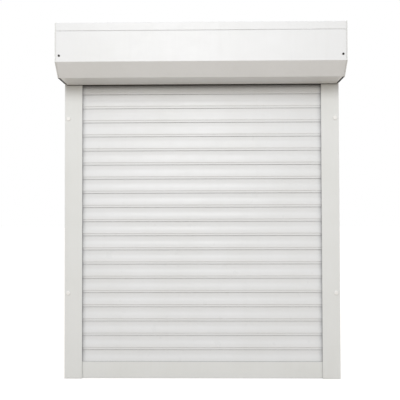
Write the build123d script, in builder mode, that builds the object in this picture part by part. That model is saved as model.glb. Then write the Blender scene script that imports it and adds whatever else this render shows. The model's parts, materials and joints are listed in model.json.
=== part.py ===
"""Front-mounted exterior roller shutter with a 45 degree head box, curtain closed.

Millimetres, +Z up, the front looks along -Y. The origin lies on the wall plane (y = 0), in the
middle of the four guide fixings.
"""
import os
from math import acos, atan2, cos, degrees, radians, sin, sqrt

from build123d import *

os.makedirs("parts", exist_ok=True)

# Overall sizes
width = 830.0
guide_length = 890.0
box_height = 150.0
box_depth = 150.0
overrun = 4.0

# Guide rails
guide_width = 53.0
guide_depth = 22.0
guide_wall = 1.5
screw_chamber_width = 19.5
fixing_low = 257.0
fixing_top_drop = 105.0
fixing_hole_r = 3.0
access_hole_r = 5.5

# Gaskets in the mouth of each guide
gasket_width = 4.8
gasket_base = 2.0
gasket_nose = 1.0
gasket_rib = 1.2

# Screw caps and chamber plugs
cap_head_r = 6.2
cap_head_height = 1.8
cap_stem_length = 5.0
cap_clear = 0.1
plug_height = 12.0
plug_clear = 0.2

# Curtain slats
pitch = 43.0
slat_count = 20
first_slat_rise = 42.6
slat_thick = 9.0
slat_wall = 1.1
stack_gap = 0.5
hook_play = 2.0
hook_clear = 0.6
retain_height = 1.8
retain_reach = 3.9
bead_height = 2.6
bead_back = 2.2
neck_front = 1.4
neck_thick = 1.2
lip_front = 3.4
lip_wall = 1.0
lip_round = 0.8
web_thick = 1.0
guide_engagement = 20.0

# Slat face, as depth from the curtain plane and height above the slat's lower edge
crease_rise = 6.2
nose_rise = 8.0
face_foot_depth = 4.3
face_foot_rise = 9.8
face_bend_rise = 22.5
face_top_depth = 1.65
face_top_rise = 31.5
back_hollow = 0.6

# Light slots in the necks
light_slot_length = 18.0
light_slot_height = 2.0
light_slot_pitch = 30.0
light_slot_rise = 0.4

# End clips in every other slat
clip_head = 2.0
clip_plug_length = 16.0
clip_clear = 0.25
clip_seat_gap = 0.1

# Bottom bar with its seal and glides
bar_front = 6.0
bar_back = 5.0
bar_face_top = 50.0
bar_skirt_rise = 0.6
bar_floor_rise = 4.0
bar_wall = 1.0
seal_slot_neck = 3.0
seal_slot_width = 6.0
seal_slot_height = 3.0
seal_clear = 0.2
seal_bulb_width = 7.0
seal_round = 1.3
glide_thick = 4.0
glide_plug_length = 18.0

# Head box sheets
sheet = 1.0
bend_r = 1.6
chamfer_height = 38.0
front_lip_height = 23.0
rear_lip_height = 12.0
seam_gap = 0.8
joggle_height = 2.4
joggle_clear = 0.3
tongue_height = 8.0
drip_lip_edge = 0.4
drip_lip_gap = 4.0
cover_slit = 0.7
wiper_drop = 2.6
wiper_height = 7.0
wiper_clear = 2.5
wiper_end_gap = 1.0
wiper_guide_gap = 0.3
wiper_guide_drop = 1.4
corner_notch = 6.5

# End plates
plate_thick = 3.0
rim_depth = 14.0
rim_wall = 2.0
spigot_depth = 10.0
spigot_drop = 35.0
spigot_rise = 25.0
spigot_clear = 0.3
seal_strip_height = 3.0
seal_strip_clear = 0.2

# Cover screws, rivets and grommet
cover_screw_inset = 12.2
cover_screw_rise = 17.6
cover_screw_head_r = 3.2
cover_screw_head = 1.8
cover_screw_r = 1.6
cover_screw_length = 12.0
cover_screw_recess_r = 1.5
recess_sides = 6
screw_clear = 0.1
rivet_head_r = 3.2
rivet_head = 1.3
rivet_taper = 30
rivet_r = 1.6
rivet_length = 6.0
rivet_row_shares = (0.27, 0.73)
grommet_inset = 115.0
grommet_rise = 100.0
grommet_r = 8.0
grommet_flange_r = 10.5
grommet_flange = 1.3

# Inlet funnels above the guides
funnel_height = 22.0
funnel_wall_gap = 0.5
funnel_end_wall = 3.0
funnel_flare = 2.5

# Roller tube and its axis
axis_depth = 78.0
axis_rise = 78.0
tube_sides = 8
tube_flat_r = 20.0
tube_wall = 0.8
tube_end_gap = 25.0
fit_clear = 0.15

# Motor, on the right
motor_r = 17.0
motor_length = 430.0
motor_head_r = 23.0
motor_head_length = 16.0
motor_bracket_size = 60.0
motor_bracket_thick = 4.0
motor_stud = 10.0
stud_clear = 0.15
crown_length = 18.0
crown_flange = 1.6
crown_flange_r = 22.5
running_clear = 0.35
motor_shaft_r = 5.0
motor_shaft_length = 20.0
drive_wheel_length = 12.0
drive_wheel_gap = 3.0
clip_ring_r = 8.0
clip_ring_thick = 1.2
clip_groove = 0.6
cable_gland_r = 4.0
cable_gland_flange_r = 5.5
cable_gland_flange = 1.5
cable_gland_length = 8.0

# Idler end, on the left
idler_plug_length = 60.0
idler_wall = 3.0
idler_pin_r = 6.0
idler_pin_stop = 2.0
bearing_width = 8.0
bearing_inner_r = 8.0
bearing_ball_ring_r = 10.0
bearing_outer_r = 14.0
bearing_race_r = 12.0
ball_r = 1.7
ball_count = 8
cage_wall = 0.8
cage_thick = 1.2
cup_wall = 3.0
bearing_plate_r = 30.0
bearing_plate_thick = 4.0
bearing_seat_gap = 0.3

# Bracket screws
bracket_screw_r = 2.0
bracket_screw_head_r = 3.6
bracket_screw_head = 2.4
bracket_screw_ring_r = 24.0
bracket_screw_bite = 2.0
bracket_screw_count = 4
bracket_screw_turn = 45

# Tube screws through the tube into the drive wheel and the idler plug
tube_screw_r = 1.5
tube_screw_head_r = 2.8
tube_screw_head = 1.4
tube_screw_length = 7.0

# Hanger rings, straps and shoes
hanger_x = 230.0
ring_r = 30.0
ring_width = 24.0
ring_flange = 1.5
ring_flange_r = 32.5
strap_width = 20.0
strap_thick = 0.5
strap_clear = 0.2
shoe_width = 24.0
shoe_wall = 1.2
shoe_cap = 4.5
shoe_clear = 0.15

# Derived places
half_width = width / 2
fixing_rise = guide_length - fixing_low - fixing_top_drop
sill_z = -(fixing_low + fixing_rise / 2)
box_z = sill_z + guide_length
top_z = box_z + box_height
guide_inner_x = half_width - guide_width
fixing_x = half_width - guide_wall - screw_chamber_width / 2
channel_end_x = half_width - 2 * guide_wall - screw_chamber_width
grommet_x = half_width - grommet_inset
curtain_y = -guide_depth / 2
slat_half = guide_inner_x + guide_engagement
axis_y = -axis_depth
axis_z = box_z + axis_rise
plate_x = half_width - plate_thick
tube_half = plate_x - tube_end_gap


def finish(piece, name):
    """Label a finished piece and write it as one node."""
    piece.part.label = name
    export_step(piece.part, f"parts/{name}.step")


def from_curtain(depth, z):
    """A point of a curtain section: depth counts from the curtain plane towards the front."""
    return (curtain_y - depth, z)


# Guide rails: a closed screw chamber outside, the slat channel inside, open at the mouth
gasket_y = guide_depth - guide_wall
with BuildPart() as guide_rail_left:
    with BuildSketch(Plane.XY.offset(sill_z)):
        with Locations((-half_width + guide_width / 2, curtain_y)):
            Rectangle(guide_width, guide_depth)
        with Locations((-fixing_x, curtain_y)):
            Rectangle(screw_chamber_width, guide_depth - 2 * guide_wall, mode=Mode.SUBTRACT)
        with Locations((-channel_end_x, curtain_y)):
            Rectangle(channel_end_x - guide_inner_x + overrun, guide_depth - 2 * guide_wall,
                      align=(Align.MIN, Align.CENTER), mode=Mode.SUBTRACT)
        for rib_x in (guide_inner_x, guide_inner_x + gasket_rib + gasket_width):
            with Locations((-rib_x, -gasket_y), (-rib_x, -guide_wall - gasket_base)):
                Rectangle(gasket_rib, gasket_base, align=(Align.MAX, Align.MIN))
    extrude(amount=guide_length)
    fixing_heights = (sill_z + fixing_low, sill_z + fixing_low + fixing_rise)
    with BuildSketch(Plane.XZ):
        with Locations(*[(-fixing_x, z) for z in fixing_heights]):
            Circle(fixing_hole_r)
    extrude(amount=guide_wall, mode=Mode.SUBTRACT)
    with BuildSketch(Plane.XZ.offset(guide_depth - guide_wall)):
        with Locations(*[(-fixing_x, z) for z in fixing_heights]):
            Circle(access_hole_r)
    extrude(amount=guide_wall, mode=Mode.SUBTRACT)
finish(guide_rail_left, "guide_rail_left")

with BuildPart() as guide_rail_right:
    mirror(guide_rail_left.part, about=Plane.YZ)
finish(guide_rail_right, "guide_rail_right")

# Rubber gaskets on both sides of each slat channel, held between the ribs of the mouth
with BuildPart() as guide_gaskets:
    gasket_x = -guide_inner_x - gasket_rib - gasket_width / 2
    for seat_y, inward in ((-gasket_y, 1), (-guide_wall, -1)):
        with BuildSketch(Plane.XY.offset(sill_z)):
            with BuildLine():
                shoulder_y = seat_y + inward * gasket_base
                Polyline(
                    (gasket_x - gasket_width / 2, shoulder_y),
                    (gasket_x - gasket_width / 2, seat_y),
                    (gasket_x + gasket_width / 2, seat_y),
                    (gasket_x + gasket_width / 2, shoulder_y),
                )
                ThreePointArc(
                    (gasket_x + gasket_width / 2, shoulder_y),
                    (gasket_x, shoulder_y + inward * gasket_nose),
                    (gasket_x - gasket_width / 2, shoulder_y),
                )
            make_face()
        extrude(amount=guide_length)
    mirror(about=Plane.YZ)
finish(guide_gaskets, "guide_gaskets")

# Plugs that close the screw chambers at the sill
with BuildPart() as guide_chamber_plugs:
    with BuildSketch(Plane.XY.offset(sill_z)):
        with Locations((-fixing_x, curtain_y)):
            Rectangle(screw_chamber_width - plug_clear, guide_depth - 2 * guide_wall - plug_clear)
    extrude(amount=plug_height)
    mirror(about=Plane.YZ)
finish(guide_chamber_plugs, "guide_chamber_plugs")

# Caps over the access holes of the guide screws
with BuildPart() as guide_screw_caps:
    for cap_z in fixing_heights:
        with BuildSketch(Plane.XZ.offset(guide_depth)):
            with Locations((-fixing_x, cap_z)):
                Circle(cap_head_r)
        extrude(amount=cap_head_height)
        with BuildSketch(Plane.XZ.offset(guide_depth)):
            with Locations((-fixing_x, cap_z)):
                Circle(access_hole_r - cap_clear)
                Circle(access_hole_r - cap_clear - guide_wall, mode=Mode.SUBTRACT)
        extrude(amount=-cap_stem_length)
    front_rims = guide_screw_caps.edges().filter_by(GeomType.CIRCLE).group_by(Axis.Y)[0]
    chamfer(front_rims, length=cap_head_height / 2)
    mirror(about=Plane.YZ)
finish(guide_screw_caps, "guide_screw_caps")


def neck_points(shoulder_z, bead_z):
    """Neck and bead above a shoulder, from its front foot round to its back foot."""
    neck_back = neck_front - neck_thick
    return [
        from_curtain(neck_front, shoulder_z),
        from_curtain(neck_front, bead_z + bead_height),
        from_curtain(-bead_back, bead_z + bead_height),
        from_curtain(-bead_back, bead_z),
        from_curtain(neck_back, bead_z),
        from_curtain(neck_back, shoulder_z),
    ]


bead_rise = retain_height + hook_clear + hook_play
pocket_top = bead_rise + bead_height + hook_clear
slat_front = slat_thick / 2
shoulder_rise = pitch - stack_gap
slot_count = int((2 * guide_inner_x - light_slot_length) // light_slot_pitch)

# The face bulges from its foot to the bend and hollows from there to its flat top. Both arcs turn by
# the same angle, so the bend lies on the straight line from foot to top
face_lean = (face_foot_depth - face_top_depth) / (face_top_rise - face_foot_rise)
face_bend_depth = face_top_depth + face_lean * (face_top_rise - face_bend_rise)


def face_arc_r(rise):
    """Radius of a face arc that climbs by a height while it turns."""
    return rise * (1 + face_lean * face_lean) / (2 * face_lean)


def face_depth(rise):
    """Depth of the curved face at a height above the slat's lower edge."""
    if rise < face_bend_rise:
        bulge_r = face_arc_r(face_bend_rise - face_foot_rise)
        above_foot = rise - face_foot_rise
        return face_foot_depth - bulge_r + sqrt(bulge_r * bulge_r - above_foot * above_foot)
    hollow_r = face_arc_r(face_top_rise - face_bend_rise)
    below_top = face_top_rise - rise
    return face_top_depth + hollow_r - sqrt(hollow_r * hollow_r - below_top * below_top)


def slat_face_line(base_z, inset, foot_rise, top_rise):
    """Front of a slat, moved back by an inset: bulged, then hollow, then flat to its top."""
    bend_point = from_curtain(face_bend_depth - inset, base_z + face_bend_rise)
    TangentArc(
        from_curtain(face_foot_depth - inset, base_z + foot_rise),
        bend_point,
        tangent=(0, 1),
    )
    TangentArc(
        from_curtain(face_top_depth - inset, base_z + face_top_rise),
        bend_point,
        tangent=(0, -1),
    )
    Line(
        from_curtain(face_top_depth - inset, base_z + face_top_rise),
        from_curtain(face_top_depth - inset, base_z + top_rise),
    )


def slat_back_line(top_z_here, low_z_here, inset):
    """Hollowed back of a slat between two heights."""
    ThreePointArc(
        from_curtain(inset - slat_front, top_z_here),
        from_curtain(back_hollow + inset - slat_front, (top_z_here + low_z_here) / 2),
        from_curtain(inset - slat_front, low_z_here),
    )


def slat_section(base_z):
    """Hollow slat section: lip and pocket below, two chambers, neck with bead on top."""
    shoulder_z = base_z + shoulder_rise
    lip_in = lip_front - lip_wall
    retain_tip = retain_reach - slat_front
    chamber_low = base_z + pocket_top + web_thick
    chamber_high = shoulder_z - slat_wall
    with BuildSketch(mode=Mode.PRIVATE) as section:
        with BuildLine():
            Line(from_curtain(lip_in, base_z), from_curtain(lip_front - lip_round, base_z))
            RadiusArc(
                from_curtain(lip_front - lip_round, base_z),
                from_curtain(lip_front, base_z + lip_round),
                lip_round,
            )
            Line(
                from_curtain(lip_front, base_z + lip_round),
                from_curtain(lip_front, base_z + crease_rise),
            )
            ThreePointArc(
                from_curtain(lip_front, base_z + crease_rise),
                from_curtain(slat_front, base_z + nose_rise),
                from_curtain(face_foot_depth, base_z + face_foot_rise),
            )
            slat_face_line(base_z, 0, face_foot_rise, shoulder_rise)
            Polyline(
                from_curtain(face_top_depth, shoulder_z),
                *neck_points(shoulder_z, base_z + pitch + bead_rise),
                from_curtain(-slat_front, shoulder_z),
            )
            slat_back_line(shoulder_z, base_z, 0)
            Polyline(
                from_curtain(-slat_front, base_z),
                from_curtain(retain_tip, base_z),
                from_curtain(retain_tip, base_z + retain_height),
                from_curtain(slat_wall - slat_front, base_z + retain_height),
                from_curtain(slat_wall - slat_front, base_z + pocket_top),
                from_curtain(lip_in, base_z + pocket_top),
                from_curtain(lip_in, base_z),
            )
        make_face()
        with BuildLine():
            slat_face_line(base_z, slat_wall, pocket_top + web_thick, shoulder_rise - slat_wall)
            Line(
                from_curtain(face_top_depth - slat_wall, chamber_high),
                from_curtain(slat_wall - slat_front, chamber_high),
            )
            slat_back_line(chamber_high, chamber_low, slat_wall)
            Line(
                from_curtain(slat_wall - slat_front, chamber_low),
                from_curtain(face_foot_depth - slat_wall, chamber_low),
            )
        make_face(mode=Mode.SUBTRACT)
        web_z = (chamber_low + chamber_high) / 2
        web_front = face_depth(web_z - base_z) - slat_wall / 2
        web_back = slat_wall / 2 + back_hollow - slat_front
        with Locations(from_curtain((web_front + web_back) / 2, web_z)):
            Rectangle(web_front - web_back, web_thick)
    return section.sketch


def end_clip(side, base_z):
    """Plastic clip in one end of a slat: a plug in the lower chamber and a head outside."""
    chamber_low = base_z + pocket_top + web_thick
    chamber_mid = (chamber_low + base_z + shoulder_rise - slat_wall) / 2
    clip_low = chamber_low + clip_clear
    clip_high = chamber_mid - web_thick / 2 - clip_clear
    clip_z = (clip_low + clip_high) / 2
    plug_back = slat_wall + back_hollow + clip_clear - slat_front
    plug_front = face_depth(clip_high - base_z) - slat_wall - clip_clear
    with BuildPart(mode=Mode.PRIVATE) as clip:
        with BuildSketch(Plane.YZ.offset(side * (slat_half + clip_seat_gap))):
            with Locations(from_curtain((plug_front + plug_back) / 2, clip_z)):
                Rectangle(plug_front - plug_back, clip_high - clip_low)
        extrude(amount=-side * clip_plug_length)
        with BuildSketch(Plane.YZ.offset(side * (slat_half + clip_seat_gap))):
            with Locations(from_curtain(0, clip_z)):
                Rectangle(slat_thick - slat_wall, clip_high - clip_low)
        extrude(amount=side * clip_head)
    return clip.part


# Slats, counted from the bottom bar upwards
for number in range(1, slat_count + 1):
    slat_z = sill_z + first_slat_rise + (number - 1) * pitch
    slot_z = slat_z + shoulder_rise + light_slot_rise + light_slot_height / 2
    with BuildPart() as slat:
        with BuildSketch(Plane.YZ):
            add(slat_section(slat_z))
        extrude(amount=slat_half, both=True)
        with BuildSketch(Plane.XZ.offset(-curtain_y + neck_front)):
            with Locations((0, slot_z)):
                with GridLocations(light_slot_pitch, light_slot_height, slot_count, 1):
                    Rectangle(light_slot_length, light_slot_height)
        extrude(amount=-neck_thick, mode=Mode.SUBTRACT)
        if number % 2:
            add(end_clip(-1, slat_z))
            add(end_clip(1, slat_z))
    finish(slat, f"slat_{number:02d}")

# Bottom bar: a taller face in front of the first slat, and a slot for the seal below
bar_floor_z = sill_z + bar_floor_rise
bar_shoulder_z = sill_z + first_slat_rise - stack_gap
seal_slot_top = bar_floor_z + bar_wall + seal_slot_height
with BuildPart() as bottom_bar:
    with BuildSketch(Plane.YZ):
        with BuildLine():
            Polyline(
                from_curtain(bar_front, sill_z + bar_skirt_rise),
                from_curtain(bar_front, sill_z + bar_face_top),
                from_curtain(bar_front - bar_wall, sill_z + bar_face_top),
                from_curtain(bar_front - bar_wall, bar_shoulder_z),
                *neck_points(bar_shoulder_z, sill_z + first_slat_rise + bead_rise),
                from_curtain(-bar_back, bar_shoulder_z),
                from_curtain(-bar_back, bar_floor_z),
                from_curtain(bar_front - bar_wall, bar_floor_z),
                from_curtain(bar_front - bar_wall, sill_z + bar_skirt_rise),
                close=True,
            )
        make_face()
        chamber_low = seal_slot_top + bar_wall
        chamber_high = bar_shoulder_z - bar_wall
        with Locations(from_curtain((bar_front - bar_back) / 2, (chamber_low + chamber_high) / 2)):
            Rectangle(bar_front + bar_back - 2 * bar_wall, chamber_high - chamber_low,
                      mode=Mode.SUBTRACT)
            Rectangle(bar_front + bar_back - 2 * bar_wall, bar_wall)
        with Locations(from_curtain(0, bar_floor_z)):
            Rectangle(seal_slot_neck, bar_wall, align=(Align.CENTER, Align.MIN), mode=Mode.SUBTRACT)
        with Locations(from_curtain(0, bar_floor_z + bar_wall)):
            Rectangle(seal_slot_width, seal_slot_height, align=(Align.CENTER, Align.MIN),
                      mode=Mode.SUBTRACT)
    extrude(amount=slat_half, both=True)
    with BuildSketch(Plane.XZ.offset(-curtain_y + neck_front)):
        with Locations((0, bar_shoulder_z + light_slot_rise + light_slot_height / 2)):
            with GridLocations(light_slot_pitch, light_slot_height, slot_count, 1):
                Rectangle(light_slot_length, light_slot_height)
    extrude(amount=-neck_thick, mode=Mode.SUBTRACT)
finish(bottom_bar, "bottom_bar")

# Rubber seal under the bottom bar, resting on the sill
with BuildPart() as bottom_seal:
    with BuildSketch(Plane.YZ):
        with Locations(from_curtain(0, bar_floor_z)):
            Rectangle(seal_slot_neck - seal_clear, bar_wall + seal_clear,
                      align=(Align.CENTER, Align.MIN))
            Rectangle(seal_bulb_width, bar_floor_rise, align=(Align.CENTER, Align.MAX))
        with Locations(from_curtain(0, bar_floor_z + bar_wall + seal_clear / 2)):
            Rectangle(seal_slot_width - seal_clear, seal_slot_height - seal_clear,
                      align=(Align.CENTER, Align.MIN))
    extrude(amount=guide_inner_x, both=True)
    sill_edges = bottom_seal.edges().filter_by(Axis.X).group_by(Axis.Z)[0]
    fillet(sill_edges, radius=seal_round)
finish(bottom_seal, "bottom_seal")

# Glides on the ends of the bottom bar, inside the guides
with BuildPart() as bottom_bar_glides:
    with BuildSketch(Plane.YZ.offset(-slat_half)):
        with Locations(from_curtain((bar_front - bar_back) / 2, (bar_floor_z + bar_shoulder_z) / 2)):
            Rectangle(bar_front + bar_back, bar_shoulder_z - bar_floor_z)
    extrude(amount=-glide_thick)
    glide_low = chamber_low + clip_clear
    glide_high = (chamber_low + chamber_high - bar_wall) / 2 - clip_clear
    with BuildSketch(Plane.YZ.offset(-slat_half)):
        with Locations(from_curtain((bar_front - bar_back) / 2, (glide_low + glide_high) / 2)):
            Rectangle(bar_front + bar_back - 2 * bar_wall - 2 * clip_clear, glide_high - glide_low)
    extrude(amount=glide_plug_length)
    mirror(about=Plane.YZ)
finish(bottom_bar_glides, "bottom_bar_glides")


def box_point(depth, rise):
    """A point of a head box section: depth in front of the wall, rise above the box's underside."""
    return (-depth, box_z + rise)


def sheet_section(points, radii):
    """Folded sheet section, drawn along its outer face and thickened inwards."""
    with BuildSketch(mode=Mode.PRIVATE) as section:
        with BuildLine():
            FilletPolyline(*points, radius=radii)
            offset(amount=sheet, side=Side.RIGHT)
        make_face()
    return section.sketch


def side_align(side):
    """Alignment of a rectangle that grows outwards on a side of the middle."""
    return Align.MAX if side < 0 else Align.MIN


front_seam = box_height - front_lip_height
rear_seam = box_height - rear_lip_height
joggle = sheet + joggle_clear
lip_depth = guide_depth + drip_lip_gap
drip_lip_height = bend_r + drip_lip_edge
casing_half = plate_x - cover_slit
tongue_half = plate_x - rim_depth - cover_slit

# Head box: top panel, rear panel and bevelled front cover
with BuildPart() as casing_top_panel:
    with BuildSketch(Plane.YZ):
        add(sheet_section(
            [
                box_point(box_depth, front_seam),
                box_point(box_depth, box_height),
                box_point(0, box_height),
                box_point(0, rear_seam),
            ],
            bend_r,
        ))
    extrude(amount=casing_half, both=True)
    with BuildSketch(Plane.XY.offset(top_z)):
        for share in rivet_row_shares:
            with Locations((plate_x - rim_depth / 2, -box_depth * share)):
                Circle(rivet_r + screw_clear)
        mirror(about=Plane.YZ)
    extrude(amount=-sheet, mode=Mode.SUBTRACT)
finish(casing_top_panel, "casing_top_panel")

with BuildPart() as casing_rear_panel:
    with BuildSketch(Plane.YZ):
        add(sheet_section(
            [
                box_point(0, 0),
                box_point(0, rear_seam - seam_gap - joggle_height),
                box_point(joggle, rear_seam - seam_gap),
                box_point(joggle, rear_seam + tongue_height),
            ][::-1],
            bend_r,
        ))
    extrude(amount=casing_half, both=True)
    with BuildSketch(Plane.XZ):
        with Locations((grommet_x, box_z + grommet_rise)):
            Circle(grommet_r)
    extrude(amount=sheet, mode=Mode.SUBTRACT)
    with BuildSketch(Plane.XZ.offset(sheet)):
        for side in (-1, 1):
            with Locations((side * tongue_half, box_z + rear_seam - seam_gap - joggle_height - bend_r)):
                Rectangle(2 * rim_depth, 2 * tongue_height, align=(side_align(side), Align.MIN))
    extrude(amount=2 * joggle, mode=Mode.SUBTRACT)
finish(casing_rear_panel, "casing_rear_panel")

cover_screw_x = half_width - cover_screw_inset
cover_screw_z = box_z + chamfer_height + cover_screw_rise
with BuildPart() as casing_front_cover:
    with BuildSketch(Plane.YZ):
        add(sheet_section(
            [
                box_point(lip_depth, -drip_lip_height),
                box_point(lip_depth, 0),
                box_point(box_depth - chamfer_height, 0),
                box_point(box_depth, chamfer_height),
                box_point(box_depth, front_seam - seam_gap - joggle_height),
                box_point(box_depth - joggle, front_seam - seam_gap),
                box_point(box_depth - joggle, front_seam + tongue_height),
            ],
            bend_r,
        ))
    extrude(amount=casing_half, both=True)
    with BuildSketch(Plane.XZ.offset(box_depth)):
        with Locations((-cover_screw_x, cover_screw_z), (cover_screw_x, cover_screw_z)):
            Circle(cover_screw_r + screw_clear)
    extrude(amount=-sheet, mode=Mode.SUBTRACT)
    notch_depth = box_depth - chamfer_height - bend_r
    with BuildSketch(Plane.XY.offset(box_z - drip_lip_height)):
        for side in (-1, 1):
            with Locations((side * (half_width - corner_notch), -notch_depth)):
                Rectangle(corner_notch, notch_depth, align=(side_align(side), Align.MIN))
    extrude(amount=drip_lip_height + 2 * sheet, mode=Mode.SUBTRACT)
    with BuildSketch(Plane.XZ.offset(box_depth - sheet)):
        for side in (-1, 1):
            with Locations((side * tongue_half, box_z + front_seam - seam_gap - joggle_height - bend_r)):
                Rectangle(2 * rim_depth, 2 * tongue_height, align=(side_align(side), Align.MIN))
    extrude(amount=-2 * joggle, mode=Mode.SUBTRACT)
finish(casing_front_cover, "casing_front_cover")

# Black wiper behind the drip lip: it closes the gap to the curtain, and a thinner part covers the
# tops of the guides
wiper_top = wiper_height - drip_lip_height - wiper_drop
with BuildPart() as curtain_wiper:
    with BuildSketch(Plane.YZ):
        with Locations(box_point(lip_depth - sheet, wiper_top)):
            Rectangle(lip_depth - sheet - guide_depth / 2 - slat_front - wiper_clear, wiper_height,
                      align=(Align.MIN, Align.MAX))
    extrude(amount=guide_inner_x - wiper_end_gap, both=True)
    with BuildSketch(Plane.YZ):
        with Locations(box_point(lip_depth - sheet, wiper_top)):
            Rectangle(drip_lip_gap - sheet - wiper_guide_gap, wiper_top + drip_lip_height + wiper_guide_drop,
                      align=(Align.MIN, Align.MAX))
    extrude(amount=half_width - corner_notch, both=True)
finish(curtain_wiper, "curtain_wiper")

# End plates: a flat plate with a rim inside the sheets and a spigot down into the guide
box_outline = [
    box_point(0, 0),
    box_point(0, box_height),
    box_point(box_depth, box_height),
    box_point(box_depth, chamfer_height),
    box_point(box_depth - chamfer_height, 0),
]
strip_near = lip_depth + sheet
strip_far = box_depth - chamfer_height - bend_r
strip_length = strip_far - strip_near - 2 * seal_strip_clear
with BuildPart() as end_plate_left:
    with BuildSketch(Plane.YZ.offset(-half_width)) as plate_face:
        Polygon(*box_outline, align=None)
        low_corners, middle_corners = plate_face.vertices().group_by(Axis.Y)[:2]
        fillet(low_corners + middle_corners, radius=bend_r)
    extrude(amount=plate_thick)
    with BuildSketch(Plane.YZ.offset(-plate_x)) as rim_face:
        Polygon(*box_outline, align=None)
        offset(amount=-sheet, kind=Kind.INTERSECTION, mode=Mode.REPLACE)
        fillet(rim_face.vertices(), bend_r)
        with BuildSketch(mode=Mode.PRIVATE) as rim_inside:
            Polygon(*box_outline, align=None)
            offset(amount=-sheet - rim_wall, kind=Kind.INTERSECTION, mode=Mode.REPLACE)
        add(rim_inside.sketch, mode=Mode.SUBTRACT)
        with Locations(box_point(strip_far, 0)):
            Rectangle(strip_far, sheet + rim_wall, align=(Align.MIN, Align.MIN), mode=Mode.SUBTRACT)
    extrude(amount=rim_depth)
    with BuildSketch(Plane.YZ.offset(-half_width)):
        with Locations(box_point(strip_far, 0)):
            Rectangle(strip_far - strip_near, seal_strip_height, align=(Align.MIN, Align.MIN))
    extrude(amount=plate_thick, mode=Mode.SUBTRACT)
    spigot_left = half_width - guide_wall - spigot_clear
    spigot_right = half_width - guide_wall - screw_chamber_width + spigot_clear
    with BuildSketch(Plane.XY.offset(box_z - spigot_drop)):
        with Locations((-(spigot_left + spigot_right) / 2, curtain_y)):
            Rectangle(spigot_left - spigot_right, spigot_depth)
    extrude(amount=spigot_drop + spigot_rise)
    with BuildSketch(Plane.XZ.offset(box_depth)):
        with Locations((-cover_screw_x, cover_screw_z)):
            Circle(cover_screw_r + screw_clear)
    extrude(amount=-sheet - rim_wall - overrun, mode=Mode.SUBTRACT)
    with BuildSketch(Plane.XY.offset(top_z)):
        for share in rivet_row_shares:
            with Locations((-plate_x + rim_depth / 2, -box_depth * share)):
                Circle(rivet_r + screw_clear)
    extrude(amount=-sheet - rim_wall - overrun, mode=Mode.SUBTRACT)
    with BuildSketch(Plane.YZ.offset(-plate_x)):
        with Locations((axis_y, axis_z)):
            with PolarLocations(bracket_screw_ring_r, bracket_screw_count, bracket_screw_turn):
                Circle(bracket_screw_r + screw_clear)
    extrude(amount=-bracket_screw_bite, mode=Mode.SUBTRACT)
finish(end_plate_left, "end_plate_left")

with BuildPart() as end_plate_right:
    mirror(end_plate_left.part, about=Plane.YZ)
finish(end_plate_right, "end_plate_right")

# Dark sealing strips under the end plates, beside the notched underside of the cover
with BuildPart() as underside_seals:
    with BuildSketch(Plane.YZ.offset(-half_width)):
        with Locations(box_point(strip_far - seal_strip_clear, 0)):
            Rectangle(strip_length, seal_strip_height - seal_strip_clear, align=(Align.MIN, Align.MIN))
    extrude(amount=corner_notch - seal_strip_clear)
    mirror(about=Plane.YZ)
finish(underside_seals, "underside_seals")

# Screws that hold the front cover to the rims of the end plates
with BuildPart() as cover_screws:
    with BuildSketch(Plane.XZ.offset(box_depth)):
        with Locations((-cover_screw_x, cover_screw_z)):
            Circle(cover_screw_head_r)
    extrude(amount=cover_screw_head)
    fillet(cover_screws.edges().group_by(Axis.Y)[0], radius=cover_screw_head / 2)
    with BuildSketch(Plane.XZ.offset(box_depth + cover_screw_head)):
        with Locations((-cover_screw_x, cover_screw_z)):
            RegularPolygon(cover_screw_recess_r, recess_sides)
    extrude(amount=-cover_screw_head / 2, mode=Mode.SUBTRACT)
    with BuildSketch(Plane.XZ.offset(box_depth)):
        with Locations((-cover_screw_x, cover_screw_z)):
            Circle(cover_screw_r)
    extrude(amount=-cover_screw_length)
    mirror(about=Plane.YZ)
finish(cover_screws, "cover_screws")

# Rivets that hold the top panel to the rims of the end plates
with BuildPart() as panel_rivets:
    for share in rivet_row_shares:
        with BuildSketch(Plane.XY.offset(top_z)):
            with Locations((-plate_x + rim_depth / 2, -box_depth * share)):
                Circle(rivet_head_r)
        extrude(amount=rivet_head, taper=rivet_taper)
        with BuildSketch(Plane.XY.offset(top_z)):
            with Locations((-plate_x + rim_depth / 2, -box_depth * share)):
                Circle(rivet_r)
        extrude(amount=-rivet_length)
    mirror(about=Plane.YZ)
finish(panel_rivets, "panel_rivets")

# Closed rubber grommet in the rear panel, where the motor cable is led out
with BuildPart() as cable_grommet:
    with BuildSketch(Plane.XZ):
        with Locations((grommet_x, box_z + grommet_rise)):
            Circle(grommet_r)
    extrude(amount=sheet)
    with BuildSketch(Plane.XZ.offset(sheet)):
        with Locations((grommet_x, box_z + grommet_rise)):
            Circle(grommet_flange_r)
    extrude(amount=grommet_flange)
finish(cable_grommet, "cable_grommet")

# Inlet funnels that lead the curtain into the guides
funnel_inner = guide_inner_x + gasket_rib
funnel_outer = channel_end_x - funnel_wall_gap
slot_depth = guide_depth - 2 * guide_wall - 2 * gasket_base - 2 * gasket_nose
funnel_depth = guide_depth - sheet - 2 * funnel_wall_gap
with BuildPart() as inlet_funnels:
    with BuildSketch(Plane.XY.offset(box_z)):
        with Locations((-funnel_outer, -sheet - funnel_wall_gap)):
            Rectangle(funnel_outer - funnel_inner, funnel_depth, align=(Align.MIN, Align.MAX))
        with Locations((-funnel_outer + funnel_end_wall, curtain_y)):
            Rectangle(funnel_outer - funnel_inner, slot_depth, align=(Align.MIN, Align.CENTER),
                      mode=Mode.SUBTRACT)
    extrude(amount=funnel_height)
    mouth_edges = inlet_funnels.edges().filter_by(Axis.X).group_by(Axis.Z)[-1].sort_by(Axis.Y)[1:-1]
    chamfer(mouth_edges, length=funnel_flare)
    mirror(about=Plane.YZ)
finish(inlet_funnels, "inlet_funnels")


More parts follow.
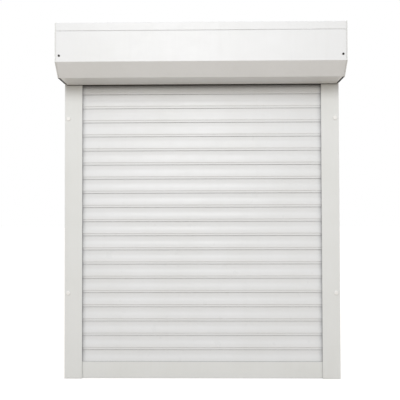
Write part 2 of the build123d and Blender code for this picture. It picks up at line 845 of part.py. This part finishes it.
def on_axis(x):
    """Plane square to the roller axis at a place along it."""
    return Plane(origin=(x, axis_y, axis_z), x_dir=(0, 1, 0), z_dir=(1, 0, 0))


def tube_octagon(flat_r, mode=Mode.ADD):
    """Octagon with a flat side on top, by the radius to its flats."""
    return RegularPolygon(flat_r, tube_sides, major_radius=False, rotation=180 / tube_sides, mode=mode)


# Octagonal roller tube
with BuildPart() as roller_tube:
    with BuildSketch(on_axis(-tube_half)):
        tube_octagon(tube_flat_r)
        tube_octagon(tube_flat_r - tube_wall, Mode.SUBTRACT)
    extrude(amount=2 * tube_half)
    plug_screw_x = -tube_half + idler_plug_length / 2
    wheel_x = tube_half - motor_length - drive_wheel_gap - drive_wheel_length / 2
    with BuildSketch(Plane.XY.offset(axis_z)):
        with Locations((plug_screw_x, axis_y), (wheel_x, axis_y)):
            Circle(tube_screw_r + screw_clear)
    extrude(amount=tube_flat_r, mode=Mode.SUBTRACT)
finish(roller_tube, "roller_tube")

# Motor: bracket on the right end plate, head with its stud, and the body inside the tube
bracket_face_x = plate_x - motor_bracket_thick
head_x = tube_half + crown_flange + running_clear
with BuildPart() as motor_bracket:
    with BuildSketch(on_axis(bracket_face_x)):
        RectangleRounded(motor_bracket_size, motor_bracket_size, bracket_screw_head_r)
        Rectangle(motor_stud + 2 * stud_clear, motor_stud + 2 * stud_clear, mode=Mode.SUBTRACT)
        with PolarLocations(bracket_screw_ring_r, bracket_screw_count, bracket_screw_turn):
            Circle(bracket_screw_r + screw_clear, mode=Mode.SUBTRACT)
    extrude(amount=motor_bracket_thick)
finish(motor_bracket, "motor_bracket")

with BuildPart() as motor_head:
    with BuildSketch(on_axis(head_x)):
        Circle(motor_head_r)
    extrude(amount=motor_head_length)
    with BuildSketch(on_axis(head_x + motor_head_length)):
        Rectangle(motor_stud, motor_stud)
    extrude(amount=plate_x - head_x - motor_head_length)
    with BuildSketch(on_axis(head_x)):
        Circle(motor_r)
    extrude(amount=-crown_flange)
finish(motor_head, "motor_head")

with BuildPart() as motor_body:
    with BuildSketch(on_axis(head_x - crown_flange)):
        Circle(motor_r)
    extrude(amount=-motor_length)
finish(motor_body, "motor_body")

with BuildPart() as motor_cable_gland:
    gland_x = head_x + motor_head_length / 2
    with BuildSketch(Plane.XY.offset(axis_z)):
        with Locations((gland_x, axis_y)):
            Circle(cable_gland_r)
    extrude(amount=motor_head_r + cable_gland_length)
    with BuildSketch(Plane.XY.offset(axis_z)):
        with Locations((gland_x, axis_y)):
            Circle(cable_gland_flange_r)
    extrude(amount=motor_head_r + cable_gland_flange)
    with BuildSketch(on_axis(head_x)):
        Circle(motor_head_r)
    extrude(amount=motor_head_length, mode=Mode.SUBTRACT)
finish(motor_cable_gland, "motor_cable_gland")


def inside_tube(clear):
    """Octagon that fits inside the roller tube."""
    return tube_octagon(tube_flat_r - tube_wall - clear)


# Crown ring that carries the tube's end round the neck of the motor
with BuildPart() as motor_crown:
    with BuildSketch(on_axis(tube_half)):
        inside_tube(fit_clear)
        Circle(motor_r + running_clear, mode=Mode.SUBTRACT)
    extrude(amount=-crown_length)
    with BuildSketch(on_axis(tube_half)):
        Circle(crown_flange_r)
        Circle(motor_r + running_clear, mode=Mode.SUBTRACT)
    extrude(amount=crown_flange)
finish(motor_crown, "motor_crown")

# Motor shaft, drive wheel and the clip that keeps the wheel on the shaft
shaft_x = head_x - crown_flange - motor_length - running_clear
wheel_face_x = wheel_x - drive_wheel_length / 2
with BuildPart() as motor_shaft:
    with BuildSketch(on_axis(shaft_x)):
        Circle(motor_shaft_r)
        with Locations((0, motor_shaft_r)):
            Rectangle(2 * motor_shaft_r, motor_shaft_r / 2, mode=Mode.SUBTRACT)
    extrude(amount=-motor_shaft_length)
    with BuildSketch(on_axis(wheel_face_x)):
        Circle(motor_shaft_r)
        Circle(motor_shaft_r - clip_groove, mode=Mode.SUBTRACT)
    extrude(amount=-clip_ring_thick, mode=Mode.SUBTRACT)
finish(motor_shaft, "motor_shaft")

with BuildPart() as drive_wheel:
    with BuildSketch(on_axis(wheel_face_x)):
        inside_tube(fit_clear)
        Circle(motor_shaft_r + screw_clear, mode=Mode.SUBTRACT)
    extrude(amount=drive_wheel_length)
    with BuildSketch(Plane.XY.offset(axis_z + tube_flat_r)):
        with Locations((wheel_x, axis_y)):
            Circle(tube_screw_r + screw_clear)
    extrude(amount=-tube_screw_length - overrun, mode=Mode.SUBTRACT)
finish(drive_wheel, "drive_wheel")

with BuildPart() as drive_wheel_clip:
    with BuildSketch(on_axis(wheel_face_x)):
        Circle(clip_ring_r)
        Circle(motor_shaft_r - clip_groove + screw_clear, mode=Mode.SUBTRACT)
        Rectangle(clip_ring_r, motor_shaft_r, align=(Align.MIN, Align.CENTER), mode=Mode.SUBTRACT)
    extrude(amount=-clip_ring_thick)
finish(drive_wheel_clip, "drive_wheel_clip")

# Idler end: plug in the tube, pin, and ball bearing in a cup on the left end plate
bearing_plate_x = -plate_x + bearing_plate_thick
bearing_x = bearing_plate_x + bearing_seat_gap
pin_x = bearing_x + bearing_seat_gap
with BuildPart() as idler_plug:
    with BuildSketch(on_axis(-tube_half)):
        inside_tube(fit_clear)
        Circle(idler_pin_r, mode=Mode.SUBTRACT)
    extrude(amount=idler_plug_length)
    with BuildSketch(on_axis(-tube_half + idler_wall)):
        inside_tube(fit_clear + idler_wall)
        Circle(idler_pin_r + idler_wall, mode=Mode.SUBTRACT)
    extrude(amount=idler_plug_length / 2 - 2 * idler_wall, mode=Mode.SUBTRACT)
    with BuildSketch(on_axis(-tube_half)):
        Circle(crown_flange_r)
        Circle(idler_pin_r, mode=Mode.SUBTRACT)
    extrude(amount=-crown_flange)
    with BuildSketch(Plane.XY.offset(axis_z + tube_flat_r)):
        with Locations((plug_screw_x, axis_y)):
            Circle(tube_screw_r + screw_clear)
    extrude(amount=-tube_screw_length - overrun, mode=Mode.SUBTRACT)
finish(idler_plug, "idler_plug")

with BuildPart() as idler_pin:
    with BuildSketch(on_axis(pin_x)):
        Circle(idler_pin_r)
    extrude(amount=idler_plug_length - tube_half - pin_x)
    chamfer(idler_pin.edges().group_by(Axis.X)[0], length=idler_pin_stop / 2)
    with BuildSketch(on_axis(bearing_x + bearing_width + screw_clear)):
        Circle(idler_pin_r + idler_pin_stop)
    extrude(amount=idler_pin_stop)
finish(idler_pin, "idler_pin")

with BuildPart() as bearing_bracket:
    with BuildSketch(on_axis(-plate_x)):
        Circle(bearing_plate_r)
        with PolarLocations(bracket_screw_ring_r, bracket_screw_count, bracket_screw_turn):
            Circle(bracket_screw_r + screw_clear, mode=Mode.SUBTRACT)
    extrude(amount=bearing_plate_thick)
    with BuildSketch(on_axis(bearing_plate_x)):
        Circle(bearing_outer_r + cup_wall)
        Circle(bearing_outer_r, mode=Mode.SUBTRACT)
    extrude(amount=bearing_seat_gap + bearing_width)
finish(bearing_bracket, "bearing_bracket")

with BuildPart() as bearing_outer_ring:
    with BuildSketch(on_axis(bearing_x)):
        Circle(bearing_outer_r)
        Circle(bearing_race_r, mode=Mode.SUBTRACT)
    extrude(amount=bearing_width)
finish(bearing_outer_ring, "bearing_outer_ring")

with BuildPart() as bearing_inner_ring:
    with BuildSketch(on_axis(bearing_x)):
        Circle(bearing_inner_r)
        Circle(idler_pin_r, mode=Mode.SUBTRACT)
    extrude(amount=bearing_width)
finish(bearing_inner_ring, "bearing_inner_ring")

with BuildPart() as bearing_balls:
    with Locations(on_axis(bearing_x + bearing_width / 2)):
        with PolarLocations(bearing_ball_ring_r, ball_count):
            Sphere(ball_r)
    with BuildSketch(on_axis(bearing_x + bearing_width / 2 - cage_thick / 2)):
        Circle(bearing_ball_ring_r + cage_wall)
        Circle(bearing_ball_ring_r - cage_wall, mode=Mode.SUBTRACT)
    extrude(amount=cage_thick)
finish(bearing_balls, "bearing_balls")

# Screws of both brackets, their heads inside the box
with BuildPart() as bracket_screws:
    for seat_x, outward in ((bearing_plate_x, -1), (bracket_face_x, 1)):
        with BuildSketch(on_axis(seat_x)):
            with PolarLocations(bracket_screw_ring_r, bracket_screw_count, bracket_screw_turn):
                Circle(bracket_screw_head_r)
        extrude(amount=-outward * bracket_screw_head)
        with BuildSketch(on_axis(seat_x)):
            with PolarLocations(bracket_screw_ring_r, bracket_screw_count, bracket_screw_turn):
                Circle(bracket_screw_r)
        extrude(amount=outward * (bearing_plate_thick + bracket_screw_bite - screw_clear))
finish(bracket_screws, "bracket_screws")

# Screws through the tube into the idler plug and the drive wheel
with BuildPart() as tube_screws:
    for screw_x in (plug_screw_x, wheel_x):
        with BuildSketch(Plane.XY.offset(axis_z + tube_flat_r)):
            with Locations((screw_x, axis_y)):
                Circle(tube_screw_head_r)
        extrude(amount=tube_screw_head)
        with BuildSketch(Plane.XY.offset(axis_z + tube_flat_r)):
            with Locations((screw_x, axis_y)):
                Circle(tube_screw_r)
        extrude(amount=-tube_screw_length)
finish(tube_screws, "tube_screws")

# Hanger rings on the tube, with flanges that keep the straps in line
with BuildPart() as hanger_rings:
    with BuildSketch(on_axis(-hanger_x - ring_width / 2)):
        Circle(ring_flange_r)
        tube_octagon(tube_flat_r + fit_clear, Mode.SUBTRACT)
    extrude(amount=ring_width)
    with BuildSketch(on_axis(-hanger_x - ring_width / 2 + ring_flange)):
        Circle(ring_flange_r)
        Circle(ring_r, mode=Mode.SUBTRACT)
    extrude(amount=ring_width - 2 * ring_flange, mode=Mode.SUBTRACT)
    mirror(about=Plane.YZ)
finish(hanger_rings, "hanger_rings")

# Shoes that grip the bead of the top slat and hold the lower ends of the straps
top_slat_z = sill_z + first_slat_rise + (slat_count - 1) * pitch
bead_low = top_slat_z + pitch + bead_rise
shoe_low = top_slat_z + shoulder_rise + light_slot_height + light_slot_rise
shoe_top = bead_low + bead_height + shoe_cap
with BuildPart() as hanger_shoes:
    with BuildSketch(Plane.YZ.offset(-hanger_x - shoe_width / 2)):
        with BuildLine():
            Polyline(
                from_curtain(neck_front + shoe_clear + shoe_wall, shoe_low),
                from_curtain(neck_front + shoe_clear + shoe_wall, shoe_top),
                from_curtain(-bead_back - shoe_clear - shoe_wall, shoe_top),
                from_curtain(-bead_back - shoe_clear - shoe_wall, shoe_low),
                from_curtain(neck_front - neck_thick - shoe_clear, shoe_low),
                from_curtain(neck_front - neck_thick - shoe_clear, bead_low - shoe_clear),
                from_curtain(-bead_back - shoe_clear, bead_low - shoe_clear),
                from_curtain(-bead_back - shoe_clear, bead_low + bead_height + shoe_clear),
                from_curtain(neck_front + shoe_clear, bead_low + bead_height + shoe_clear),
                from_curtain(neck_front + shoe_clear, shoe_low),
                close=True,
            )
        make_face()
    extrude(amount=shoe_width)
    mirror(about=Plane.YZ)
finish(hanger_shoes, "hanger_shoes")

# Steel straps: over the top of the rings, then straight down to the shoes
strap_r = ring_r + strap_clear + strap_thick / 2
strap_foot_y = curtain_y
strap_foot_z = shoe_top + strap_clear
reach_y = strap_foot_y - axis_y
reach_z = strap_foot_z - axis_z
reach = sqrt(reach_y * reach_y + reach_z * reach_z)
leave_angle = degrees(atan2(reach_z, reach_y) + acos(strap_r / reach))
leave_point = (
    axis_y + strap_r * cos(radians(leave_angle)),
    axis_z + strap_r * sin(radians(leave_angle)),
)
with BuildPart() as hanger_straps:
    with BuildSketch(Plane.YZ.offset(-hanger_x - strap_width / 2)):
        with BuildLine() as strap_path:
            CenterArc((axis_y, axis_z), strap_r, 90, leave_angle - 90)
            Line(leave_point, (strap_foot_y, strap_foot_z))
        trace(strap_path.line, line_width=strap_thick)
    extrude(amount=strap_width)
    mirror(about=Plane.YZ)
finish(hanger_straps, "hanger_straps")
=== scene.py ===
import json
from math import pi

import bpy
from mathutils import Matrix, Vector


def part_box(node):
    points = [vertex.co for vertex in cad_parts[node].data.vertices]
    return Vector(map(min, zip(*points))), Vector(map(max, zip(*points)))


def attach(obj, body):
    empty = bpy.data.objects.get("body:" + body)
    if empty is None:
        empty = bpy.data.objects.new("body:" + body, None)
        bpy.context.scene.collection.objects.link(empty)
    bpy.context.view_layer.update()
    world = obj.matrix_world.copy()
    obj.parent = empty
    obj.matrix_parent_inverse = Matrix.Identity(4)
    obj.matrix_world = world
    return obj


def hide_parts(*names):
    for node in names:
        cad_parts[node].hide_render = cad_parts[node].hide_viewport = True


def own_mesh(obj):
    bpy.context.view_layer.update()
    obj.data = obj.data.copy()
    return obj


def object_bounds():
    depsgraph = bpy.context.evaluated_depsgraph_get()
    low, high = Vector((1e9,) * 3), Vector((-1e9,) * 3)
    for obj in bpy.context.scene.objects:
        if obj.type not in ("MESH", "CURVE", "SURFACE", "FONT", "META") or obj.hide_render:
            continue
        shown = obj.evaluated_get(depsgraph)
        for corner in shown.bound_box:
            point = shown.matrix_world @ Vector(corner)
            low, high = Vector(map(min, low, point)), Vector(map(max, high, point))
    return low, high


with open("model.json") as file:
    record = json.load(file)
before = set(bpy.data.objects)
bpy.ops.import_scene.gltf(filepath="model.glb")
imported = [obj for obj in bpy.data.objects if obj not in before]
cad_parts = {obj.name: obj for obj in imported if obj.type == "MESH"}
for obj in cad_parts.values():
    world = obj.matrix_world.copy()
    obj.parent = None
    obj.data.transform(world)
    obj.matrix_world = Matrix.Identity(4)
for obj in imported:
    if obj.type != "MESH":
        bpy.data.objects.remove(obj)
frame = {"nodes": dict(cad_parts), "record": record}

cad_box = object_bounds()
nodes = frame["nodes"]

# Camera, fitted to the photograph: lens in millimetres, place in metres, turns in radians
camera_lens = 56.12
camera_place = Vector((0.02585, -1.90575, -0.02469))
camera_yaw = 0.01627
camera_pitch = 0.02166
camera_roll = 0.00254

# Light levels, as the brightness of white paper held square to the light; places in metres
world_level = 0.75
key_level = 0.41
key_place = Vector((-0.16, -2.3, 1.1))
key_size = 1.15
back_level = 0.12
back_place = Vector((0.9, 2.2, 1.6))
back_size = 1.4

# Floor: white to the camera, but with the object's shade on it
floor_colour = (0.42, 0.37, 0.305, 1.0)
floor_lift = 0.75
floor_tint = (0.97, 1.0, 1.04, 1.0)
floor_size = 40.0
floor_gap = 0.0005
floor_roughness = 0.9
backdrop_colour = (1.0, 1.0, 1.0, 1.0)

# Colours of the coats, of what lies on them, and of the shade painted into their crevices and joints
casing_colour = (0.83, 0.845, 0.866)
guide_colour = (0.806, 0.822, 0.822)
slat_colour = (0.818, 0.833, 0.853)
# Grime tint: run-off streaks, and the painted shade in crevices
grime_and_shade_colour = (0.30, 0.27, 0.23)
# Grey of the painted shade under the slat joints
painted_joint_shade_colour = (0.40, 0.41, 0.43)
patch_tint = (0.965, 0.965, 0.955)
coat_specular = 0.30
mould_dust_colour = (0.42, 0.39, 0.35)
zinc_crystal_colour = (0.86, 0.88, 0.90)

# Features of the coats, the mouldings and the bare metals, in metres
patch_size = 0.16
speck_size = 0.0016
streak_size = 0.02
# Reach and patch size of the painted shade in crevices
crevice_shade_reach = 0.007
crevice_shade_patch_size = 0.012
# Reach of the painted shade under the slat joints
painted_joint_shade_reach = 0.014
coat_edge = 0.0006
# Patch size of the rubbed edges drawn lighter, a painted highlight
rub_highlight_size = 0.009
coat_gloss_size = 0.03
flow_size = 0.025
mould_dust_reach = 0.004
mould_edge = 0.0004
mould_gloss_size = 0.006
tarnish_size = 0.012
crystal_size = 0.0035
metal_edge = 0.0003
metal_gloss_size = 0.004

# Stretch of a grain that runs along an axis or round the roller
even = (1.0, 1.0, 1.0)
along_x = (0.02, 1.0, 1.0)
along_z = (1.0, 1.0, 0.02)
round_x = (1.0, 0.05, 0.05)
down_z = (1.0, 1.0, 0.06)

# Shader settings: the range in which most noise lies, and how open a crevice and a free face are
noise_low, noise_high = 0.3, 0.7
crevice_open, face_open = 0.35, 0.95
edge_gain = 6.0
edge_samples = 6
crevice_samples = 8
clip_margin = 0.00005
sensor_width = 36.0


# Building blocks of the finishes

def start_finish(name):
    """New material with only an output and a Principled shader."""
    finish = bpy.data.materials.new(name)
    finish.use_nodes = True
    tree = finish.node_tree
    tree.nodes.clear()
    output = tree.nodes.new("ShaderNodeOutputMaterial")
    shader = tree.nodes.new("ShaderNodeBsdfPrincipled")
    tree.links.new(shader.outputs["BSDF"], output.inputs["Surface"])
    return finish, tree, shader


def put(tree, kind, inputs=None, **settings):
    """Add a node; an input is given as a value or as the socket that feeds it."""
    node = tree.nodes.new(kind)
    for key, value in settings.items():
        setattr(node, key, value)
    for key, value in (inputs or {}).items():
        if isinstance(value, bpy.types.NodeSocket):
            tree.links.new(value, node.inputs[key])
        else:
            node.inputs[key].default_value = value
    return node


def object_point(tree, stretch=even):
    """Place on the object in metres, stretched per axis."""
    coordinates = put(tree, "ShaderNodeTexCoord")
    inputs = {"Vector": coordinates.outputs["Object"], "Scale": stretch}
    return put(tree, "ShaderNodeMapping", inputs).outputs["Vector"]


def noise(tree, size, stretch=even, detail=3.0, roughness=0.5):
    """Noise from 0 to 1 whose features are about size metres wide."""
    point = object_point(tree, stretch)
    inputs = {"Vector": point, "Scale": 1.0 / size, "Detail": detail, "Roughness": roughness}
    return put(tree, "ShaderNodeTexNoise", inputs).outputs["Fac"]


def spread(tree, value, low, high, out_low, out_high):
    """Map a value from one range to another, clamped."""
    inputs = {"Value": value, "From Min": low, "From Max": high, "To Min": out_low, "To Max": out_high}
    return put(tree, "ShaderNodeMapRange", inputs).outputs["Result"]


def combined(tree, first, second, operation="MULTIPLY"):
    """Combine two values; each is a number or a socket."""
    return put(tree, "ShaderNodeMath", {0: first, 1: second}, operation=operation).outputs[0]


def shaded(colour, factor):
    """Colour made darker or lighter by a factor, white at most."""
    return tuple(min(1.0, channel * factor) for channel in colour)


def mixed(tree, share, first, second):
    """Mix two colours; each is a socket or an RGB triple."""
    node = put(tree, "ShaderNodeMix", data_type="RGBA")
    factor_in, first_in, second_in = (node.inputs[index] for index in (0, 6, 7))
    for socket, value in ((factor_in, share), (first_in, first), (second_in, second)):
        if isinstance(value, bpy.types.NodeSocket):
            tree.links.new(value, socket)
        elif isinstance(value, tuple):
            socket.default_value = (*value, 1.0)
        else:
            socket.default_value = value
    return node.outputs[2]


def edge_share(tree, radius):
    """How much a spot lies on an edge, and the normal rounded there."""
    rounded = put(tree, "ShaderNodeBevel", {"Radius": radius}, samples=edge_samples).outputs["Normal"]
    flat = put(tree, "ShaderNodeNewGeometry").outputs["Normal"]
    inputs = {0: rounded, 1: flat}
    likeness = put(tree, "ShaderNodeVectorMath", inputs, operation="DOT_PRODUCT").outputs["Value"]
    return spread(tree, likeness, 1.0, 1.0 - 1.0 / edge_gain, 0.0, 1.0), rounded


def crevice_share(tree, reach):
    """How much a spot lies in a crevice."""
    inputs = {"Distance": reach}
    opened = put(tree, "ShaderNodeAmbientOcclusion", inputs, samples=crevice_samples).outputs["AO"]
    return spread(tree, opened, crevice_open, face_open, 1.0, 0.0)


def bumped(tree, height, depth, normal=None):
    """Bump from a height of 0 to 1 that stands for a depth in metres."""
    inputs = {"Height": height, "Distance": depth, "Strength": 1.0}
    if normal is not None:
        inputs["Normal"] = normal
    return put(tree, "ShaderNodeBump", inputs).outputs["Normal"]


def coated(name, colour, gloss, peel_size, peel_depth, line_stretch=None, line_size=0.0012,
           line_depth=0.0, streaks=0.03, painted_crevice_shade=0.35, painted_joint_shade=0.0):
    """Powder or coil coat: orange peel, forming lines, run-off streaks, painted shade in crevices in a
    patchy grime tint, painted shade under joints where asked, and rubbed edges drawn lighter as a painted
    highlight.
    """
    finish, tree, shader = start_finish(name)
    patches = spread(tree, noise(tree, patch_size, detail=4.0), noise_low, noise_high, 0.0, 1.0)
    tint = tuple(channel * factor for channel, factor in zip(colour, patch_tint))
    body = mixed(tree, patches, colour, tint)
    speck = spread(tree, noise(tree, speck_size, detail=2.0), 0.66, 0.78, 0.0, 0.10)
    body = mixed(tree, speck, body, shaded(colour, 0.8))
    run_off = noise(tree, streak_size, down_z, detail=5.0, roughness=0.6)
    body = mixed(tree, spread(tree, run_off, 0.5, 0.8, 0.0, streaks), body, grime_and_shade_colour)
    # Crevices darkened in a patchy grime tint: painted shade
    crevice_shade_mask = combined(tree, crevice_share(tree, crevice_shade_reach), painted_crevice_shade)
    body = mixed(tree, combined(tree, crevice_shade_mask, noise(tree, crevice_shade_patch_size)), body, grime_and_shade_colour)
    # Under the slat joints, darkened to grey: painted shade
    if painted_joint_shade:
        body = mixed(tree, combined(tree, crevice_share(tree, painted_joint_shade_reach), painted_joint_shade), body, painted_joint_shade_colour)
    # Edges drawn lighter where rubbed: painted edge highlight, partly rubbed wear
    highlit_edges, normal = edge_share(tree, coat_edge)
    rubbed_highlight = spread(tree, noise(tree, rub_highlight_size), 0.45, 0.65, 0.0, 0.5)
    body = mixed(tree, combined(tree, highlit_edges, rubbed_highlight), body, shaded(colour, 1.08))
    tree.links.new(body, shader.inputs["Base Color"])
    haze = noise(tree, coat_gloss_size, detail=5.0)
    rough = spread(tree, haze, noise_low, noise_high, gloss - 0.05, gloss + 0.07)
    tree.links.new(rough, shader.inputs["Roughness"])
    if line_stretch is not None:
        lines = noise(tree, line_size, line_stretch, detail=2.0)
        normal = bumped(tree, lines, line_depth, normal)
    normal = bumped(tree, noise(tree, peel_size, detail=2.0), peel_depth, normal)
    tree.links.new(normal, shader.inputs["Normal"])
    shader.inputs["Specular IOR Level"].default_value = coat_specular
    return finish


def moulded(name, colour, gloss, grain_size, grain_depth, dusting=0.2):
    """Moulded plastic or rubber: fine grain, flow patches, dust in the corners."""
    finish, tree, shader = start_finish(name)
    flow = spread(tree, noise(tree, flow_size, detail=4.0), noise_low, noise_high, 0.0, 1.0)
    body = mixed(tree, flow, colour, shaded(colour, 0.9))
    dust = combined(tree, crevice_share(tree, mould_dust_reach), dusting)
    body = mixed(tree, dust, body, mould_dust_colour)
    tree.links.new(body, shader.inputs["Base Color"])
    haze = noise(tree, mould_gloss_size, detail=4.0)
    rough = spread(tree, haze, noise_low, noise_high, gloss - 0.06, gloss + 0.08)
    tree.links.new(rough, shader.inputs["Roughness"])
    normal = edge_share(tree, mould_edge)[1]
    normal = bumped(tree, noise(tree, grain_size, detail=3.0), grain_depth, normal)
    tree.links.new(normal, shader.inputs["Normal"])
    return finish


def bare_metal(name, colour, gloss, grain_stretch, grain_size=0.0009, grain_depth=0.000006, spangle=0.0):
    """Bare or plated metal: machining grain, tarnish, and zinc crystals where there is spangle."""
    finish, tree, shader = start_finish(name)
    shader.inputs["Metallic"].default_value = 1.0
    tarnish = spread(tree, noise(tree, tarnish_size, detail=5.0), 0.35, 0.7, 0.0, 1.0)
    body = mixed(tree, tarnish, colour, shaded(colour, 0.78))
    if spangle:
        inputs = {"Vector": object_point(tree), "Scale": 1.0 / crystal_size}
        crystals = put(tree, "ShaderNodeTexVoronoi", inputs).outputs["Color"]
        grey = put(tree, "ShaderNodeRGBToBW", {"Color": crystals}).outputs[0]
        body = mixed(tree, spread(tree, grey, 0.0, 1.0, 0.0, spangle), body, zinc_crystal_colour)
    # Edges drawn lighter: painted edge highlight
    highlit_edges, normal = edge_share(tree, metal_edge)
    body = mixed(tree, highlit_edges, body, shaded(colour, 1.25))
    tree.links.new(body, shader.inputs["Base Color"])
    haze = noise(tree, metal_gloss_size, detail=5.0)
    rough = spread(tree, haze, noise_low, noise_high, gloss - 0.06, gloss + 0.10)
    tree.links.new(rough, shader.inputs["Roughness"])
    grain = noise(tree, grain_size, grain_stretch, detail=3.0)
    tree.links.new(bumped(tree, grain, grain_depth, normal), shader.inputs["Normal"])
    return finish


def make_finishes():
    """One finish for each material slot of the record."""
    return {
        "casing_white": coated("casing_white", casing_colour, gloss=0.36, peel_size=0.0018,
                               peel_depth=0.000020, streaks=0.035),
        "guide_white": coated("guide_white", guide_colour, gloss=0.38, peel_size=0.0015,
                              peel_depth=0.000016, line_stretch=along_z, line_size=0.0011,
                              line_depth=0.000008),
        "slat_white": coated("slat_white", slat_colour, gloss=0.32, peel_size=0.0012,
                             peel_depth=0.000009, line_stretch=along_x, line_size=0.0016,
                             line_depth=0.000010, streaks=0.02, painted_crevice_shade=0.5, painted_joint_shade=1.0),
        "plate_white": coated("plate_white", guide_colour, gloss=0.42, peel_size=0.0022,
                              peel_depth=0.000035, painted_crevice_shade=0.4),
        "white_plastic": moulded("white_plastic", (0.93, 0.93, 0.92), gloss=0.32, grain_size=0.0005,
                                 grain_depth=0.000008, dusting=0.1),
        "grey_plastic": moulded("grey_plastic", (0.30, 0.31, 0.32), gloss=0.48, grain_size=0.0006,
                                grain_depth=0.000014),
        "black_rubber": moulded("black_rubber", (0.030, 0.030, 0.031), gloss=0.68, grain_size=0.0007,
                                grain_depth=0.000030, dusting=0.12),
        "dark_screw": bare_metal("dark_screw", (0.055, 0.053, 0.052), gloss=0.42, grain_stretch=even),
        "zinc_steel": bare_metal("zinc_steel", (0.60, 0.62, 0.64), gloss=0.40, grain_stretch=along_x,
                                 spangle=0.4),
        "bearing_steel": bare_metal("bearing_steel", (0.66, 0.66, 0.67), gloss=0.20,
                                    grain_stretch=round_x, grain_size=0.0005, grain_depth=0.000003),
        "spring_steel": bare_metal("spring_steel", (0.34, 0.36, 0.40), gloss=0.32,
                                   grain_stretch=along_z),
        "rivet_aluminium": bare_metal("rivet_aluminium", (0.80, 0.80, 0.80), gloss=0.34,
                                      grain_stretch=even),
    }


finishes = make_finishes()

# Dress the CAD nodes by their material slots
slot_of = {row["node"]: row["material_slot"] for row in frame["record"]["subparts"]}
for node_name, node in nodes.items():
    for material_slot in node.material_slots:
        material_slot.material = finishes[slot_of[node_name]]


def dress_end_clips(node, slat_end):
    """Give the grey clips in the ends of a slat their own finish."""
    node.data.materials.append(finishes["grey_plastic"])
    clip_index = len(node.data.materials) - 1
    for face in node.data.polygons:
        if all(abs(node.data.vertices[corner].co.x) > slat_end for corner in face.vertices):
            face.material_index = clip_index


# Every other slat carries end clips, from the lowest one up
slat_names = sorted(name for name in nodes if name.startswith("slat_"))
slat_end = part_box("slat_02")[1][0] + clip_margin
for slat_name in slat_names[::2]:
    dress_end_clips(nodes[slat_name], slat_end)

# Hanger straps, as a copy fixed to the housing in place of the CAD node
straps = bpy.data.objects.new("hanger_straps_steel", nodes["hanger_straps"].data.copy())
bpy.context.scene.collection.objects.link(straps)
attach(straps, "housing")
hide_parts("hanger_straps")
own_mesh(straps)


# Floor, world, lamps and camera

def make_floor():
    """Pale floor just under the shutter."""
    half = floor_size / 2
    height = cad_box[0][2] - floor_gap
    mesh = bpy.data.meshes.new("floor")
    corners = [(-half, -half, height), (half, -half, height), (half, half, height), (-half, half, height)]
    mesh.from_pydata(corners, [], [(0, 1, 2, 3)])
    floor = bpy.data.objects.new("floor", mesh)
    bpy.context.scene.collection.objects.link(floor)
    finish, tree, shader = start_finish("floor_pale")
    shader.inputs["Base Color"].default_value = floor_colour
    shader.inputs["Roughness"].default_value = floor_roughness
    shader.inputs["Emission Color"].default_value = floor_tint
    path = put(tree, "ShaderNodeLightPath")
    seen = combined(tree, path.outputs["Is Camera Ray"], path.outputs["Is Glossy Ray"], "MAXIMUM")
    tree.links.new(combined(tree, seen, floor_lift), shader.inputs["Emission Strength"])
    mesh.materials.append(finish)


def make_world():
    """Even pale surroundings, seen as white and lighting the object at a lower level."""
    world = bpy.data.worlds.new("studio")
    bpy.context.scene.world = world
    world.use_nodes = True
    tree = world.node_tree
    tree.nodes.clear()
    output = tree.nodes.new("ShaderNodeOutputWorld")
    path = put(tree, "ShaderNodeLightPath")
    seen = combined(tree, path.outputs["Is Camera Ray"], path.outputs["Is Glossy Ray"], "MAXIMUM")
    seen = combined(tree, seen, path.outputs["Is Transmission Ray"], "MAXIMUM")
    level = spread(tree, seen, 0.0, 1.0, world_level, 1.0)
    background = put(tree, "ShaderNodeBackground", {"Color": backdrop_colour, "Strength": level})
    tree.links.new(background.outputs[0], output.inputs["Surface"])


def studio_lamp(name, place, size, level):
    """Round soft lamp aimed at the middle of the object."""
    lamp = bpy.data.lights.new(name, "AREA")
    lamp.shape = "DISK"
    lamp.size = size
    beam = (Vector(cad_box[0]) + Vector(cad_box[1])) / 2 - place
    lamp.energy = pi * pi * level * beam.length_squared
    holder = bpy.data.objects.new(name, lamp)
    holder.location = place
    holder.rotation_euler = beam.to_track_quat("-Z", "Y").to_euler()
    bpy.context.scene.collection.objects.link(holder)


def make_camera():
    """Camera at the photograph's viewpoint."""
    camera = bpy.data.objects.new("camera", bpy.data.cameras.new("camera"))
    camera.data.sensor_width = sensor_width
    camera.data.lens = camera_lens
    turn = Matrix.Rotation(camera_yaw, 4, "Z") @ Matrix.Rotation(camera_pitch, 4, "X")
    turn = turn @ Matrix.Rotation(camera_roll, 4, "Y") @ Matrix.Rotation(pi / 2, 4, "X")
    camera.matrix_world = Matrix.Translation(camera_place) @ turn
    bpy.context.scene.collection.objects.link(camera)
    bpy.context.scene.camera = camera


make_floor()
make_world()
studio_lamp("key_lamp", key_place, key_size, key_level)
studio_lamp("back_lamp", back_place, back_size, back_level)
make_camera()
bpy.context.scene.view_settings.view_transform = "Standard"
